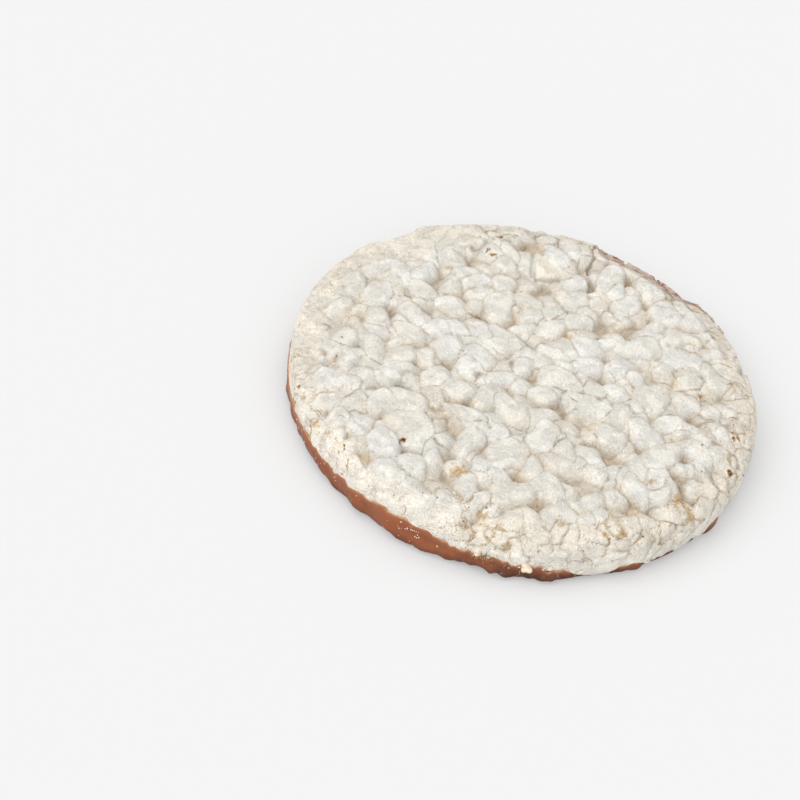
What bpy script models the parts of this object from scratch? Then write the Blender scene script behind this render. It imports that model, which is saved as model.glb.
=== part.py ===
"""A round puffed rice cake lying on its coat of milk chocolate.

The rice body is a disc of puffed grains that swelled against a mould: a flat lid over the
crown, a sloping ring inside the rim and an upright wall. Each grain is a group of two or
four rounded lobes, and the surface of the body is the nearest lobe below the mould. Where
grains swelled past the mould they are pressed flat and meet in narrow cracks; elsewhere
they stand as rounded puffs with creases between them.

The chocolate coat covers the whole underside and turns up round the wall in a lip of
uneven height. Azimuths are in degrees, counterclockwise from +X seen from above.
"""
import bpy
import numpy as np
from mathutils import Vector
from mathutils.geometry import delaunay_2d_cdt

# Driving dimensions, in metres.
CAKE_RADIUS = 0.0450
CAKE_HEIGHT = 0.0104
COAT_FLOOR = 0.0012
COAT_WALL = 0.0007
GAP = 0.0003

# The mould: a flat lid, a step down to the ring, the ring's slope and a rounded edge.
RING_WIDTH = 0.0048
RING_STEP = 0.0010
RING_DROP = 0.0019
EDGE_ROUND = 0.0011
BACK_WEAR = 0.0009
FRONT_INSET = 0.0007
RIM_PRESS = 0.0005

# Height of the lip's top at azimuths in degrees: highest at the front left and at the back.
LIP_TOP = (
    (20.0, 0.0022), (45.0, 0.0034), (66.0, 0.0047), (86.0, 0.0047), (100.0, 0.0024),
    (176.0, 0.0026), (190.0, 0.0042), (210.0, 0.0038), (230.0, 0.0042), (246.0, 0.0057),
    (257.0, 0.0056), (266.0, 0.0044), (290.0, 0.0029), (302.0, 0.0017), (345.0, 0.0016),
)

# The grains.
GRAIN_SIZE = (0.0050, 0.0092)
DEEP_GRAIN_SIZE = 0.0060
DEEP_LAYER = 0.0026
RING_GRAIN_SIZE = (0.0034, 0.0060)
WALL_GRAIN_SIZE = (0.0044, 0.0060)
WALL_GRAIN_COUNT = 50
WALL_GRAIN_ROWS = (0.0049, 0.0014)
HALF_HEIGHT = 0.27
CROWDING = 0.71
PLUMP = 1.32
SHOULDER = 0.86
GRAIN_REACH = 0.0095
DEEPEST_CREASE = 0.0020
GRAIN_BLEND = 0.00022
LOBE_BLEND = 0.00036
PRESS = 0.00018
RIM_DEPTH = 0.0005
RIM_DEEPENING = 0.7
SEED = 29

# Deep crevices of the crown, where a grain is missing: x, y and size.
CREVICES = (
    (-0.014, 0.025, 0.0062),
    (-0.0035, 0.0245, 0.0066),
    (0.007, 0.0305, 0.0064),
    (0.0125, 0.013, 0.0058),
    (-0.035, 0.005, 0.0058),
    (-0.027, 0.010, 0.0056),
    (-0.007, -0.033, 0.0064),
    (0.0205, -0.026, 0.0062),
)

# The coat's dimples, where it sank between the grains.
DIMPLE_COUNT = 16
DIMPLE_RADIUS = (0.0022, 0.0040)
DIMPLE_DEPTH = 0.0005
REST_RADIUS = 0.0100

# Resolution.
CROWN_SPACING = 0.0385
CROWN_RIM = 180
WALL_ROWS = 4
COAT_SPACING = 0.085
COAT_RIM = 120


def ramp(x, start, stop):
    """Smooth step: 0 before start, 1 after stop, a cubic between them."""
    t = np.clip((x - start) / (stop - start), 0.0, 1.0)
    return t * t * (3.0 - 2.0 * t)


def stretch(azimuth, start, stop, edge=9.0):
    """1 between two azimuths in degrees, easing to 0 over `edge` degrees outside them."""
    turn = (np.degrees(azimuth) - 0.5 * (start + stop) + 180.0) % 360.0 - 180.0
    half = 0.5 * (stop - start)
    return 1.0 - ramp(np.abs(turn), half, half + edge)


def outline_radius(azimuth):
    """The cake's radius: full along X, and a little out of round elsewhere."""
    inset = 1.0 - np.cos(2.0 * azimuth) + 0.7 * (1.0 - np.cos(6.0 * azimuth))
    return CAKE_RADIUS * (1.0 - 0.0016 * inset)


def ring_width(azimuth):
    """The ring is wide at the upper left, narrow at the lower left and full elsewhere."""
    wide = 0.55 * stretch(azimuth, 118.0, 140.0, 22.0)
    narrow = 0.45 * stretch(azimuth, 215.0, 258.0, 18.0)
    return RING_WIDTH * (1.0 + wide - narrow)


def ring_drop(azimuth):
    """The ring slopes outwards: least at the left, most at the lower left and the back."""
    level = 0.6 * stretch(azimuth, 135.0, 195.0, 20.0)
    steep = 0.4 * stretch(azimuth, 222.0, 258.0, 20.0) + 0.5 * stretch(azimuth, 50.0, 76.0, 4.0)
    return RING_DROP * (1.0 - level + steep)


def rice_radius(azimuth):
    """Radius of the rice wall: the outline, worn back where the coat climbs at the back."""
    return outline_radius(azimuth) - BACK_WEAR * stretch(azimuth, 52.0, 77.0, 4.0)


def lip_height(azimuth):
    """Top of the coat's lip: straight between the heights in LIP_TOP, with a slight wander."""
    turn, top = np.array(LIP_TOP).T
    wander = np.sin(7.0 * azimuth) + 0.8 * np.sin(13.0 * azimuth + 1.0) + 0.5 * np.sin(19.0 * azimuth)
    return np.interp(np.degrees(azimuth) % 360.0, turn, top, period=360.0) + 0.00010 * wander


def coat_radius(azimuth):
    """The coat is flush with the rice wall, and drawn in where its lip is low."""
    return outline_radius(azimuth) - FRONT_INSET * stretch(azimuth, 296.0, 350.0, 8.0)


def polar(radius, azimuth, height):
    """Points at radius, azimuth and height as rows of x, y, z."""
    radius, azimuth, height = np.broadcast_arrays(radius, azimuth, height)
    return np.stack([radius * np.cos(azimuth), radius * np.sin(azimuth), height], axis=-1)


def disc_mesh(spacing, rim_count):
    """A disc of near-equal triangles: a hexagonal lattice inside a ring of rim vertices.

    Returns the radius as a share of the disc's, the azimuth, the triangles, and the rim's
    vertices counterclockwise from azimuth 0. `spacing` is a share of the radius.
    """
    rows = np.arange(-int(1.2 / spacing), int(1.2 / spacing) + 1)
    i, j = (axis.ravel() for axis in np.meshgrid(rows, rows, indexing="ij"))
    lattice = spacing * np.stack([i + 0.5 * (j % 2), j * np.sqrt(0.75)], axis=1)
    lattice = lattice[np.linalg.norm(lattice, axis=1) < 1.0 - 0.75 * spacing]
    turn = 2.0 * np.pi * np.arange(rim_count) / rim_count
    points = np.concatenate([np.stack([np.cos(turn), np.sin(turn)], axis=1), lattice])
    loop = [list(range(rim_count))]
    found = delaunay_2d_cdt([Vector(point) for point in points], [], loop, 1, 1e-6)
    placed = np.array([tuple(point) for point in found[0]])
    rim = np.array([next(i for i, origin in enumerate(found[3]) if k in origin) for k in loop[0]])
    azimuth = np.arctan2(placed[:, 1], placed[:, 0])
    return np.linalg.norm(placed, axis=1), azimuth, np.array(found[2]), rim


def band_quads(rings):
    """Quads between neighbouring rings, given as one row of vertex numbers for each ring."""
    here, below = rings[:-1], rings[1:]
    quads = np.stack([here, below, np.roll(below, -1, axis=1), np.roll(here, -1, axis=1)], axis=-1)
    return quads.reshape(-1, 4)


def scatter(rng, tries, place, spacing, gaps=()):
    """Random points kept only where none kept before is closer than their crowded mean size.

    Each gap is an x and y that no point comes near, with its size.
    """
    kept = np.array([(x, y, 0.0) for x, y, _ in gaps]).reshape(-1, 3)
    sizes = np.array([size for _, _, size in gaps])
    for _ in range(tries):
        point = place(rng)
        size = spacing(rng)
        apart = np.linalg.norm(kept - point, axis=1)
        if np.all(apart > 0.5 * CROWDING * (sizes + size)):
            kept = np.vstack([kept, point])
            sizes = np.append(sizes, size)
    return kept[len(gaps):], sizes[len(gaps):]


def turned(normal, spin):
    """Axes as columns: the last along `normal`, the first turned round it by `spin`."""
    helper = np.array([0.0, 0.0, 1.0]) if abs(normal[2]) < 0.9 else np.array([1.0, 0.0, 0.0])
    side = np.cross(helper, normal)
    side /= np.linalg.norm(side)
    other = np.cross(normal, side)
    first = np.cos(spin) * side + np.sin(spin) * other
    return np.stack([first, np.cross(normal, first), normal], axis=1)


def puff_grain(rng, centre, normal, size):
    """A grain's lobes: a long middle one and one to three smaller ones round it.

    Each lobe is its centre, its axes as columns and its three half sizes. The third axis
    points out of the cake, along which a lobe is flattest.
    """
    tilt = normal + rng.normal(0.0, 0.15, 3)
    axes = turned(tilt / np.linalg.norm(tilt), rng.uniform(0.0, np.pi))
    half = size * np.array([rng.uniform(0.48, 0.68), rng.uniform(0.36, 0.46), HALF_HEIGHT])
    lobes = [(centre, axes, half)]
    start = rng.uniform(0.0, 2.0 * np.pi)
    count = rng.integers(1, 4)
    for i in range(count):
        bearing = start + 2.0 * np.pi * (i + rng.uniform(-0.25, 0.25)) / count
        reach = rng.uniform(0.48, 0.82)
        offset = reach * (np.cos(bearing) * half[0] * axes[:, 0] + np.sin(bearing) * half[1] * axes[:, 1])
        lift = size * rng.uniform(-0.02, 0.10) * axes[:, 2]
        lobes.append((centre + offset + lift, axes, half * rng.uniform(0.58, 0.76)))
    return lobes


def loosened(azimuth):
    """How much less the grains are pressed into the mould's rim at the back left."""
    return RIM_PRESS * stretch(azimuth, 84.0, 132.0, 10.0)


def pack_grains(rng):
    """All grains whose surface shows: the crown's, a deeper layer, the ring's and the wall's."""
    inner = CAKE_RADIUS - RING_WIDTH
    up = np.array([0.0, 0.0, 1.0])
    grains = []

    def on_disc(radius):
        return lambda r: polar(radius * np.sqrt(r.random()), r.uniform(0.0, 2.0 * np.pi), 0.0)

    def any_size(r):
        return r.uniform(*GRAIN_SIZE)

    crown, sizes = scatter(rng, 4000, on_disc(inner + 0.0008), any_size, CREVICES)
    for spot, size in zip(crown, sizes):
        sink = HALF_HEIGHT * size + rng.triangular(-0.0005, -0.0001, 0.0009)
        top = mould_top(np.hypot(spot[0], spot[1]), np.arctan2(spot[1], spot[0]))
        grains.append(puff_grain(rng, spot + up * (top - sink), up, size))

    deeper, sizes = scatter(rng, 2500, on_disc(inner), lambda r: DEEP_GRAIN_SIZE)
    for spot, size in zip(deeper, sizes):
        grains.append(puff_grain(rng, spot + up * (CAKE_HEIGHT - DEEP_LAYER), up, size))

    def on_ring(r):
        azimuth = r.uniform(0.0, 2.0 * np.pi)
        return polar(rice_radius(azimuth) - r.uniform(0.0009, 0.9 * ring_width(azimuth)), azimuth, 0.0)

    ring, sizes = scatter(rng, 2500, on_ring, lambda r: r.uniform(*RING_GRAIN_SIZE))
    for spot, size in zip(ring, sizes):
        azimuth = np.arctan2(spot[1], spot[0])
        sink = HALF_HEIGHT * size - rng.triangular(-0.0004, 0.0001, 0.0007) + loosened(azimuth)
        place, outward = mould_face(azimuth, np.hypot(spot[0], spot[1]) - rice_radius(azimuth))
        grains.append(puff_grain(rng, place - outward * sink, outward, size))

    for row, along in enumerate(WALL_GRAIN_ROWS):
        for i in range(WALL_GRAIN_COUNT):
            azimuth = 2.0 * np.pi * (i + 0.5 * row + rng.uniform(-0.3, 0.3)) / WALL_GRAIN_COUNT
            size = rng.uniform(*WALL_GRAIN_SIZE)
            sink = HALF_HEIGHT * size - rng.uniform(-0.0003, 0.0006) + loosened(azimuth)
            place, outward = mould_face(azimuth, along + rng.uniform(-0.0006, 0.0006))
            grains.append(puff_grain(rng, place - outward * sink, outward, size))
    return grains


def lobe_depth(points, inward, lobe):
    """How far below each mould point, along its inward direction, the lobe's surface lies.

    `off` is the square of a ray's distance from the lobe's centre line, and the lobe rises by
    the root of 1 - off ** PLUMP: a pillow, flatter on top and steeper at its sides than a
    ball. Past its shoulder it goes on as a straight slope, which makes the creases.
    """
    centre, axes, half = lobe
    start = (points - centre) @ axes / half
    step = inward @ axes / half
    length = np.sum(step * step, axis=1)
    along = -np.sum(start * step, axis=1) / length
    off = np.sum(start * start, axis=1) - along * along * length
    rise = np.sqrt(1.0 - SHOULDER ** PLUMP)
    fall = PLUMP * SHOULDER ** (PLUMP - 1.0) / (2.0 * rise)
    cap = np.sqrt(np.clip(1.0 - np.clip(off, 0.0, 1.0) ** PLUMP, 0.0, None))
    depth = along - np.where(off < SHOULDER, cap, rise - fall * (off - SHOULDER)) / np.sqrt(length)
    return np.where(off < 1.7, depth, 1.0)


def puff_depth(points, inward, grains):
    """Depth of the nearest grain below the mould: a smooth minimum over all grains."""
    total = np.full(len(points), np.exp(-DEEPEST_CREASE / GRAIN_BLEND))
    for lobes in grains:
        centre = lobes[0][0]
        near = np.flatnonzero(np.linalg.norm(points - centre, axis=1) < GRAIN_REACH)
        share = np.zeros(len(near))
        for lobe in lobes:
            depth = lobe_depth(points[near], inward[near], lobe)
            share += np.exp(-np.clip(depth, -0.003, 0.009) / LOBE_BLEND)
        grain_depth = -LOBE_BLEND * np.log(share + 1e-12)
        total[near] += np.exp(-np.clip(grain_depth, -0.003, 0.009) / GRAIN_BLEND)
    depth = -GRAIN_BLEND * np.log(total)
    return PRESS * np.log1p(np.exp(np.clip(depth / PRESS, -40.0, 40.0)))


def mould_top(radius, azimuth):
    """Height of the mould over the crown and the ring."""
    across = (radius - (rice_radius(azimuth) - ring_width(azimuth))) / ring_width(azimuth)
    step = RING_STEP * ramp(across, -0.25, 0.10)
    return CAKE_HEIGHT - step - ring_drop(azimuth) * np.clip(across, 0.0, 1.0)


def bend_radius(azimuth):
    """Radius of the mould's rounded edge: twice as large at the front, and never down to the lip."""
    full = EDGE_ROUND * (1.0 + stretch(azimuth, 225.0, 350.0, 20.0))
    room = mould_top(rice_radius(azimuth), azimuth) - lip_height(azimuth)
    return np.minimum(full, 0.85 * np.maximum(room, 0.0004))


def mould_face(azimuth, along):
    """Points of the mould, and their outward directions, by distance from its outer edge.

    Negative `along` is distance inwards over the ring and the crown, and positive is distance
    down the wall. Near 0 the two meet in a quarter circle.
    """
    bend = bend_radius(azimuth)
    lean = 0.25 * np.pi * (1.0 + np.clip(along / bend, -1.0, 1.0))
    inset = np.maximum(bend * (1.0 - np.sin(lean)), -along)
    drop = np.maximum(bend * (1.0 - np.cos(lean)), along)
    radius = rice_radius(azimuth) - inset
    return polar(radius, azimuth, mould_top(radius, azimuth) - drop), polar(np.sin(lean), azimuth, np.cos(lean))


def mesh_object(name, vertices, faces, material, collection):
    """A closed mesh object whose quads are split along their shorter diagonals."""
    mesh = bpy.data.meshes.new(name)
    mesh.from_pydata(vertices.tolist(), [], faces)
    mesh.validate()
    mesh.materials.append(material)
    mesh.shade_smooth()
    mesh.set_sharp_from_angle(angle=np.radians(50.0))
    piece = bpy.data.objects.new(name, mesh)
    collection.objects.link(piece)
    split = piece.modifiers.new("short diagonals", "TRIANGULATE")
    split.quad_method = "SHORTEST_DIAGONAL"
    return piece


def food_material(name, colour, roughness):
    """A plain matt or satin food surface."""
    material = bpy.data.materials.new(name)
    material.use_nodes = True
    shader = material.node_tree.nodes["Principled BSDF"]
    shader.inputs["Base Color"].default_value = (*colour, 1.0)
    shader.inputs["Roughness"].default_value = roughness
    shader.inputs["Metallic"].default_value = 0.0
    return material


def make_puffed_rice(collection):
    """The rice body: crown and ring from the disc grid, then the wall, shoulder and foot."""
    share, azimuth, top_faces, rim = disc_mesh(CROWN_SPACING, CROWN_RIM)
    crown, crown_out = mould_face(azimuth, (share - 1.0) * rice_radius(azimuth))
    turn = azimuth[rim]
    top = mould_top(rice_radius(turn), turn)
    seat = lip_height(turn) + GAP
    down = np.arange(1, WALL_ROWS + 1)[:, None] / WALL_ROWS
    wall, wall_out = mould_face(turn, (top - seat) * down)

    mould = np.concatenate([crown, wall.reshape(-1, 3)])
    out = np.concatenate([crown_out, wall_out.reshape(-1, 3)])
    depth = puff_depth(mould, -out, pack_grains(np.random.default_rng(SEED)))
    inset = rice_radius(azimuth) * (1.0 - share)
    limit = np.full(len(mould), RIM_DEPTH)
    limit[:len(crown)] = np.minimum(DEEPEST_CREASE, RIM_DEPTH + RIM_DEEPENING * inset)
    surface = mould - out * np.minimum(depth, limit)[:, None]

    foot_radius = coat_radius(turn) - COAT_WALL - GAP
    foot = [polar(foot_radius, turn, seat), polar(foot_radius, turn, COAT_FLOOR + GAP)]
    vertices = np.concatenate([surface, *foot])
    below = len(crown) + np.arange((WALL_ROWS + 2) * len(rim)).reshape(WALL_ROWS + 2, len(rim))
    rings = np.vstack([rim, below])
    faces = top_faces.tolist() + band_quads(rings).tolist() + [rings[-1][::-1].tolist()]
    rice = food_material("puffed rice", (0.74, 0.70, 0.62), 0.75)
    return mesh_object("puffed_rice", vertices, faces, rice, collection)


def dimple_depth(points, rng):
    """Shallow round wells in the underside, none of them in its middle."""
    def place(r):
        reach = np.sqrt(r.uniform((REST_RADIUS / CAKE_RADIUS) ** 2, 0.62))
        return polar(CAKE_RADIUS * reach, r.uniform(0.0, 2.0 * np.pi), 0.0)

    centres, _ = scatter(rng, 400, place, lambda r: 3.0 * DIMPLE_RADIUS[1])
    depth = np.zeros(len(points))
    for centre in centres[:DIMPLE_COUNT]:
        width = rng.uniform(*DIMPLE_RADIUS)
        away = np.linalg.norm(points[:, :2] - centre[:2], axis=1)
        depth = np.maximum(depth, DIMPLE_DEPTH * (1.0 - ramp(away, 0.0, width)))
    return depth


def make_chocolate_coat(collection):
    """The coat: a dimpled underside, a rounded edge, the lip and the tray that holds the rice."""
    share, azimuth, base_faces, rim = disc_mesh(COAT_SPACING, COAT_RIM)
    turn = azimuth[rim]
    outside = coat_radius(turn)
    lip = lip_height(turn)
    edge = np.minimum(0.0018, 0.45 * lip)
    radius = share * (coat_radius(azimuth) - 0.0013)
    underside = polar(radius, azimuth, 0.0)
    underside[:, 2] = dimple_depth(underside, np.random.default_rng(SEED + 1))
    underside[rim, 2] = 0.0

    inside = outside - COAT_WALL
    rings = [
        polar(outside - 0.0004, turn, 0.3 * edge),
        polar(outside, turn, edge),
        polar(outside, turn, lip - 0.25 * COAT_WALL),
        polar(outside - 0.35 * COAT_WALL, turn, lip),
        polar(inside, turn, lip - 0.10 * COAT_WALL),
        polar(inside, turn, COAT_FLOOR),
    ]
    vertices = np.concatenate([underside, *rings])
    numbers = len(underside) + np.arange(len(rings) * len(rim)).reshape(len(rings), len(rim))
    bands = band_quads(np.vstack([rim, numbers]))
    faces = base_faces[:, ::-1].tolist() + bands[:, ::-1].tolist() + [numbers[-1].tolist()]
    chocolate = food_material("milk chocolate", (0.20, 0.085, 0.045), 0.38)
    return mesh_object("chocolate_coat", vertices, faces, chocolate, collection)


for leftover in list(bpy.data.objects):
    bpy.data.objects.remove(leftover)

cake = bpy.data.collections.new("puffed_rice_cake")
bpy.context.scene.collection.children.link(cake)
make_puffed_rice(cake)
make_chocolate_coat(cake)
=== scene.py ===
"""The looks of a round puffed rice cake, lying rice side up on its coat of milk chocolate.

Lengths are in metres. Azimuths are in degrees, counterclockwise from +X seen from above.
"""

import bmesh
import bpy
import numpy as np
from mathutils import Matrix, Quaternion, Vector


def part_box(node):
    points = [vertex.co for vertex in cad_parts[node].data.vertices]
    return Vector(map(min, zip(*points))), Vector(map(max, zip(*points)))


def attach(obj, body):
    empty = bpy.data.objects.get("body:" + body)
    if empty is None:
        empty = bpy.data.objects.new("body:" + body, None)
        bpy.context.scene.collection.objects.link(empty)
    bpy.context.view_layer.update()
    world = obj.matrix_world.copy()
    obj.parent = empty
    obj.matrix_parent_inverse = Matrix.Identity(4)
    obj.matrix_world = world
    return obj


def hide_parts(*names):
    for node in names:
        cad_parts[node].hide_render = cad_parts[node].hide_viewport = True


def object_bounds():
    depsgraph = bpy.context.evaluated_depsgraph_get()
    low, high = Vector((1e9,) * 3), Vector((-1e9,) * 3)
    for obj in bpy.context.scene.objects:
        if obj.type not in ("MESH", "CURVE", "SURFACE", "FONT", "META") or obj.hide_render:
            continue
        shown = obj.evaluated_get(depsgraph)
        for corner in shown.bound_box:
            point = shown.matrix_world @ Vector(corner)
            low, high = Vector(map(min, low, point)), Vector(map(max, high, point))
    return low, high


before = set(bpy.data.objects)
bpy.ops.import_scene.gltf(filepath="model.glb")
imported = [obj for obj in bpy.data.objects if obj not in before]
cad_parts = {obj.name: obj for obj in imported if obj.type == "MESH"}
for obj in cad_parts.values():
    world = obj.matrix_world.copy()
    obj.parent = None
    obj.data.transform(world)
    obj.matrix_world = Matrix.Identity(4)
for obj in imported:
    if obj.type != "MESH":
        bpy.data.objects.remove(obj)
cad_low, cad_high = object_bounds()


# Puffed rice body: a disc of rice grains that swelled and fused in a hot round mould. Dry,
# matt and off-white. Grains that reached the mould are pressed flat and meet in cracks, and
# the others stand as rounded puffs. It sits in the chocolate coat with a bare fit.

cake_radius = 0.5 * (cad_high[0] - cad_low[0])
cake_height = cad_high[2]
fit_gap = 0.0003
coat_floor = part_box("puffed_rice")[0][2] - fit_gap
coat_wall = 0.0007
lip_overlap = 0.0006

ring_full_width = 0.0048
ring_step = 0.0010
ring_full_drop = 0.0019
edge_round = 0.0011

# Height of the coat's lip at azimuths in degrees: highest at the front left and at the back.
lip_top = (
    (20.0, 0.0022), (45.0, 0.0034), (66.0, 0.0047), (86.0, 0.0047), (100.0, 0.0024),
    (176.0, 0.0026), (190.0, 0.0042), (210.0, 0.0038), (230.0, 0.0042), (246.0, 0.0057),
    (257.0, 0.0056), (266.0, 0.0044), (290.0, 0.0029), (302.0, 0.0017), (345.0, 0.0016),
)

grain_size = (0.0050, 0.0092)
crowding = 0.71
deepest_crease = 0.0026
grain_blend = 0.00012
lobe_blend = 0.00034
plump = 1.32
shoulder = 0.86
grain_reach = 0.0095
most_grains = 2000
scatter_tries = 2500
deeper_layer = 0.0024
deeper_size = 0.0060
pressed_blend = 0.00018
pressed_crack = 0.00034
groove_depth = 0.0009
rim_crack_depth = 0.0008
grain_seed = 29

# Deep crevices of the crown, where a grain is missing: x, y and size.
crevices = (
    (-0.014, 0.025, 0.0062),
    (-0.0035, 0.0245, 0.0066),
    (0.007, 0.0305, 0.0064),
    (0.0125, 0.013, 0.0058),
    (-0.035, 0.005, 0.0058),
    (-0.027, 0.010, 0.0056),
    (-0.007, -0.033, 0.0064),
    (0.0205, -0.026, 0.0062),
)

# Brown pits and tan stains, where bran or a scorched grain shows: x, y, reach and weight.
stained_places = (
    (0.0406, -0.0045, 0.0008, 1.20), (0.0406, -0.0129, 0.0008, 1.25), (0.0346, -0.0103, 0.0006, 1.15),
    (0.0382, 0.0090, 0.0007, 0.9), (-0.0418, -0.0129, 0.0006, 1.0),
    (-0.0398, -0.0195, 0.0006, 1.0), (-0.0185, -0.0282, 0.0006, 1.2), (-0.0277, -0.0305, 0.0004, 1.3),
    (-0.0281, -0.0326, 0.0004, 1.3), (-0.0264, -0.0350, 0.0005, 1.0), (-0.0346, -0.0270, 0.0014, 0.62),
    (-0.0316, -0.0295, 0.0012, 0.50), (-0.0315, -0.0190, 0.0026, 0.36), (-0.0072, -0.0316, 0.0024, 0.64),
    (-0.0127, 0.0289, 0.0007, 1.0), (-0.0140, 0.0296, 0.0004, 1.3), (-0.0120, 0.0352, 0.0007, 1.1),
    (-0.0106, 0.0347, 0.0004, 1.4), (-0.0136, 0.0342, 0.0003, 1.2), (0.0331, 0.0036, 0.0010, 0.68),
    (0.0364, 0.0146, 0.0014, 0.56), (0.0266, -0.0226, 0.0012, 0.58), (0.0322, -0.0235, 0.0014, 0.60),
    (0.0345, -0.0254, 0.0010, 0.62), (0.0237, -0.0356, 0.0011, 0.62), (0.0204, -0.0363, 0.0013, 0.56),
    (0.0125, -0.0374, 0.0013, 0.56), (0.0430, 0.0111, 0.0009, 0.60), (-0.0010, -0.0400, 0.0012, 0.60),
)

crown_cells = 280
wall_rows = 14


def ramp(x, start, stop):
    """Smooth step: 0 before start, 1 after stop, a cubic between them."""
    t = np.clip((x - start) / (stop - start), 0.0, 1.0)
    return t * t * (3.0 - 2.0 * t)


def stretch(azimuth, start, stop, edge=9.0):
    """1 between two azimuths in degrees, easing to 0 over `edge` degrees outside them."""
    turn = (np.degrees(azimuth) - 0.5 * (start + stop) + 180.0) % 360.0 - 180.0
    half = 0.5 * (stop - start)
    return 1.0 - ramp(np.abs(turn), half, half + edge)


def outline_radius(azimuth):
    """The cake's radius: full along X, and a little out of round elsewhere."""
    inset = 1.0 - np.cos(2.0 * azimuth) + 0.7 * (1.0 - np.cos(6.0 * azimuth))
    return cake_radius * (1.0 - 0.0016 * inset)


def ring_width(azimuth):
    """The ring is wide at the upper left, narrow at the lower left and full elsewhere."""
    wide = 0.55 * stretch(azimuth, 118.0, 140.0, 22.0)
    narrow = 0.45 * stretch(azimuth, 215.0, 258.0, 18.0)
    return ring_full_width * (1.0 + wide - narrow)


def ring_drop(azimuth):
    """The ring slopes outwards: least at the left, most at the lower left and the back."""
    level = 0.6 * stretch(azimuth, 135.0, 195.0, 20.0)
    steep = 0.4 * stretch(azimuth, 222.0, 258.0, 20.0) + 0.2 * stretch(azimuth, 50.0, 76.0, 4.0)
    return ring_full_drop * (1.0 - level + steep)


def rice_radius(azimuth):
    """Radius of the rice wall: the outline, worn back in two places at the back."""
    worn = 0.0013 * stretch(azimuth, 52.0, 77.0, 4.0) + 0.0012 * stretch(azimuth, 134.0, 141.0, 5.0)
    return outline_radius(azimuth) - worn


def laid_bare(azimuth):
    """How bare the lip lies: in two places at the right less rice hangs over it."""
    return 0.55 * stretch(azimuth, 304.5, 308.5, 2.0) + 0.8 * stretch(azimuth, 331.5, 334.5, 3.0)


def lip_height(azimuth):
    """Top of the coat's lip: straight between the heights in lip_top, with a slight wander."""
    turn, top = np.array(lip_top).T
    wander = np.sin(7.0 * azimuth) + 0.8 * np.sin(13.0 * azimuth + 1.0) + 0.5 * np.sin(19.0 * azimuth)
    level = np.interp(np.degrees(azimuth) % 360.0, turn, top, period=360.0)
    return level + 0.00010 * wander + 0.0011 * laid_bare(azimuth)


def coat_radius(azimuth):
    """The coat is flush with the rice wall, and drawn in where rice hangs over its lip."""
    return outline_radius(azimuth) - 0.0007 * stretch(azimuth, 296.0, 350.0, 8.0) * (1.0 - laid_bare(azimuth))


def polar(radius, azimuth, height):
    """Points at radius, azimuth and height as rows of x, y, z."""
    radius, azimuth, height = np.broadcast_arrays(radius, azimuth, height)
    return np.stack([radius * np.cos(azimuth), radius * np.sin(azimuth), height], axis=-1)


def disc_grid(cells):
    """A square grid bent to a disc: each square ring of the grid becomes a circle.

    Returns the radius as a share of the disc's, the azimuth, the quads, and the boundary
    vertices counterclockwise from azimuth -45 degrees.
    """
    side = np.linspace(-1.0, 1.0, cells + 1)
    u, v = (axis.ravel() for axis in np.meshgrid(side, side, indexing="ij"))
    share = np.maximum(np.abs(u), np.abs(v))
    safe = np.where(share > 0.0, share, 1.0)
    quarter = 0.25 * np.pi
    azimuth = np.select(
        [(u >= np.abs(v)), (v >= np.abs(u)), (-u >= np.abs(v))],
        [quarter * v / safe, quarter * (2.0 - u / safe), quarter * (4.0 - v / safe)],
        quarter * (6.0 + u / safe))
    index = np.arange((cells + 1) ** 2).reshape(cells + 1, cells + 1)
    quads = np.stack([index[:-1, :-1], index[1:, :-1], index[1:, 1:], index[:-1, 1:]], axis=-1)
    rim = np.concatenate([index[-1, :-1], index[:0:-1, -1], index[0, :0:-1], index[:-1, 0]])
    return share, azimuth, quads.reshape(-1, 4), rim


def band_quads(rings):
    """Quads between neighbouring rings, given as one row of vertex numbers for each ring."""
    here, below = rings[:-1], rings[1:]
    quads = np.stack([here, below, np.roll(below, -1, axis=1), np.roll(here, -1, axis=1)], axis=-1)
    return quads.reshape(-1, 4)


def ripple(points, wavelength, seed, waves=20):
    """Smooth noise of unit strength: sine waves of near-equal length in random directions."""
    rng = np.random.default_rng(seed)
    direction = rng.normal(size=(waves, 3))
    direction /= np.linalg.norm(direction, axis=1)[:, None]
    pace = 2.0 * np.pi / wavelength * rng.uniform(0.65, 1.4, waves)
    phase = rng.uniform(0.0, 2.0 * np.pi, waves)
    return np.sin(points @ (direction * pace[:, None]).T + phase).sum(axis=1) / np.sqrt(0.5 * waves)


def scatter(rng, tries, place, spacing, gaps=()):
    """Random points kept only where none kept before is closer than their crowded mean size.

    Each gap is an x and y that no point comes near, with its size.
    """
    kept = np.array([(x, y, 0.0) for x, y, _ in gaps]).reshape(-1, 3)
    sizes = np.array([size for _, _, size in gaps])
    for _ in range(tries):
        point = place(rng)
        size = spacing(rng)
        apart = np.linalg.norm(kept - point, axis=1)
        if np.all(apart > 0.5 * crowding * (sizes + size)):
            kept = np.vstack([kept, point])
            sizes = np.append(sizes, size)
    return kept[len(gaps):], sizes[len(gaps):]


def turned(normal, spin):
    """Axes as columns: the last along `normal`, the first turned round it by `spin`."""
    helper = np.array([0.0, 0.0, 1.0]) if abs(normal[2]) < 0.9 else np.array([1.0, 0.0, 0.0])
    side = np.cross(helper, normal)
    side /= np.linalg.norm(side)
    other = np.cross(normal, side)
    first = np.cos(spin) * side + np.sin(spin) * other
    return np.stack([first, np.cross(normal, first), normal], axis=1)


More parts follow.
